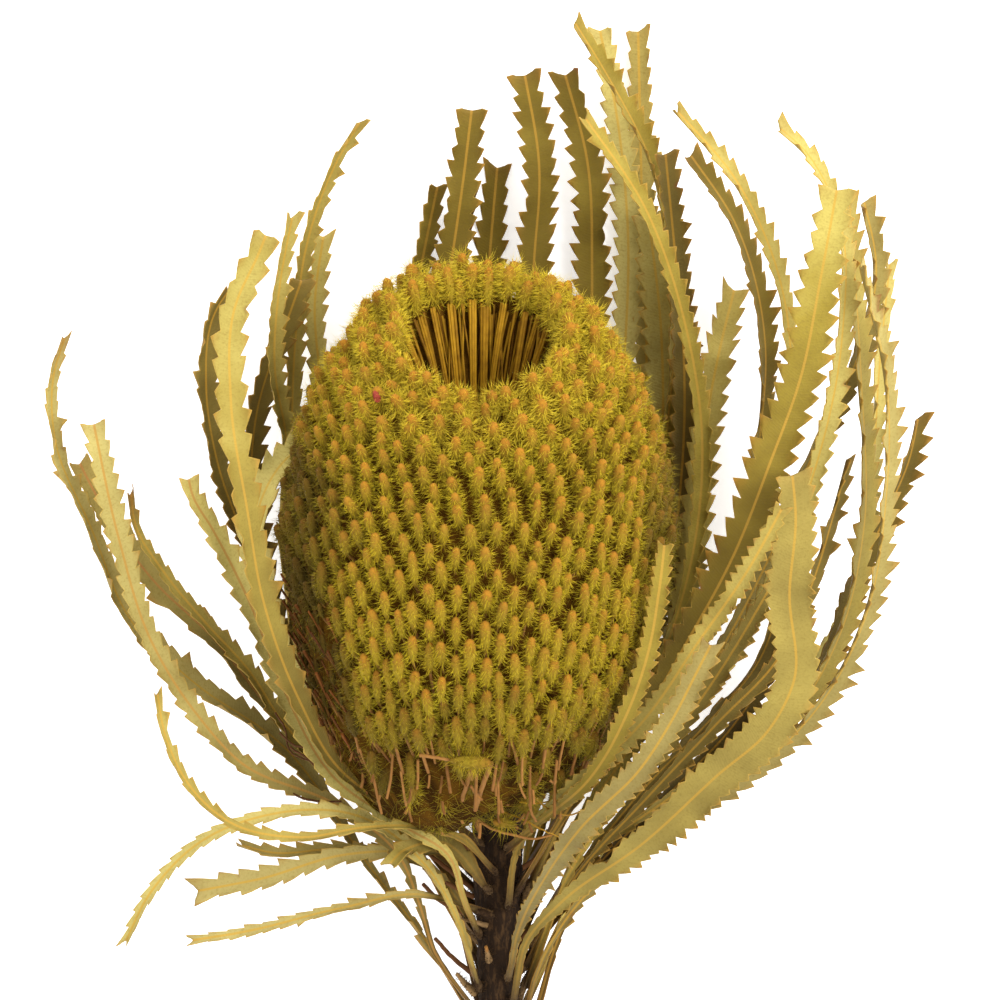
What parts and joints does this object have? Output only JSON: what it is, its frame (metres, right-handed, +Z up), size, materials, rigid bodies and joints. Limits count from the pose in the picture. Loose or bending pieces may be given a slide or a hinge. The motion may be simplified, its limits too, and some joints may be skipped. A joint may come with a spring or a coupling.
{
  "type": "dried banksia flower",
  "caption": "Dried cut flower stem that lies on a surface: a big ovoid head of staggered velvety florets with an open crown, and long saw-toothed strap leaves.",
  "frame": {"origin": "on the surface that the flower lies on, under the middle of its head, on the flat underside of a back leaf", "axes": "+Y along the flower, from its stem to its crown; +Z up from the surface"},
  "size_m": [0.1776, 0.2927, 0.0878],
  "materials": {
    "stem": "matt, woolly",
    "flower_head": "velvety",
    "leaf_left_01": "dry and leathery",
    "leaf_left_02": "dry and leathery",
    "leaf_left_03": "dry and leathery",
    "leaf_left_04": "dry and leathery",
    "leaf_left_05": "dry and leathery",
    "leaf_left_06": "dry and leathery",
    "leaf_left_07": "dry and leathery",
    "leaf_left_08": "dry and leathery",
    "leaf_left_09": "dry and leathery",
    "leaf_left_10": "dry and leathery",
    "leaf_left_11": "dry and leathery",
    "leaf_left_12": "dry and leathery",
    "leaf_low_01": "dry and leathery",
    "leaf_low_02": "dry and leathery",
    "leaf_low_03": "dry and leathery",
    "leaf_low_04": "dry and leathery",
    "leaf_low_05": "dry and leathery",
    "leaf_low_06": "dry and leathery",
    "leaf_right_01": "dry and leathery",
    "leaf_right_02": "dry and leathery",
    "leaf_right_03": "dry and leathery",
    "leaf_right_04": "dry and leathery",
    "leaf_right_05": "dry and leathery",
    "leaf_right_06": "dry and leathery",
    "leaf_right_07": "dry and leathery",
    "leaf_right_08": "dry and leathery",
    "leaf_right_09": "dry and leathery",
    "leaf_right_10": "dry and leathery",
    "leaf_right_11": "dry and leathery",
    "leaf_right_12": "dry and leathery",
    "leaf_right_13": "dry and leathery",
    "leaf_right_14": "dry and leathery",
    "leaf_right_15": "dry and leathery",
    "leaf_right_16": "dry and leathery",
    "leaf_right_17": "dry and leathery",
    "leaf_right_18": "dry and leathery",
    "leaf_back_01": "dry and leathery",
    "leaf_back_02": "dry and leathery",
    "leaf_back_03": "dry and leathery",
    "leaf_back_04": "dry and leathery",
    "leaf_back_05": "dry and leathery",
    "leaf_back_06": "dry and leathery",
    "leaf_back_07": "dry and leathery",
    "leaf_back_08": "dry and leathery",
    "leaf_back_09": "dry and leathery",
    "leaf_back_10": "dry and leathery",
    "leaf_back_11": "dry and leathery",
    "leaf_back_12": "dry and leathery"
  },
  "bodies": {
    "root": {"stem": "stem", "flower_head": "flower_head", "leaf_left_01": "leaf_left_01", "leaf_left_02": "leaf_left_02", "leaf_left_03": "leaf_left_03", "leaf_left_04": "leaf_left_04", "leaf_left_05": "leaf_left_05", "leaf_left_06": "leaf_left_06", "leaf_left_07": "leaf_left_07", "leaf_left_08": "leaf_left_08", "leaf_left_09": "leaf_left_09", "leaf_left_10": "leaf_left_10", "leaf_left_11": "leaf_left_11", "leaf_left_12": "leaf_left_12", "leaf_low_01": "leaf_low_01", "leaf_low_02": "leaf_low_02", "leaf_low_03": "leaf_low_03", "leaf_low_04": "leaf_low_04", "leaf_low_05": "leaf_low_05", "leaf_low_06": "leaf_low_06", "leaf_right_01": "leaf_right_01", "leaf_right_02": "leaf_right_02", "leaf_right_03": "leaf_right_03", "leaf_right_04": "leaf_right_04", "leaf_right_05": "leaf_right_05", "leaf_right_06": "leaf_right_06", "leaf_right_07": "leaf_right_07", "leaf_right_08": "leaf_right_08", "leaf_right_09": "leaf_right_09", "leaf_right_10": "leaf_right_10", "leaf_right_11": "leaf_right_11", "leaf_right_12": "leaf_right_12", "leaf_right_13": "leaf_right_13", "leaf_right_14": "leaf_right_14", "leaf_right_15": "leaf_right_15", "leaf_right_16": "leaf_right_16", "leaf_right_17": "leaf_right_17", "leaf_right_18": "leaf_right_18", "leaf_back_01": "leaf_back_01", "leaf_back_02": "leaf_back_02", "leaf_back_03": "leaf_back_03", "leaf_back_04": "leaf_back_04", "leaf_back_05": "leaf_back_05", "leaf_back_06": "leaf_back_06", "leaf_back_07": "leaf_back_07", "leaf_back_08": "leaf_back_08", "leaf_back_09": "leaf_back_09", "leaf_back_10": "leaf_back_10", "leaf_back_11": "leaf_back_11", "leaf_back_12": "leaf_back_12"}
  },
  "joints": []
}
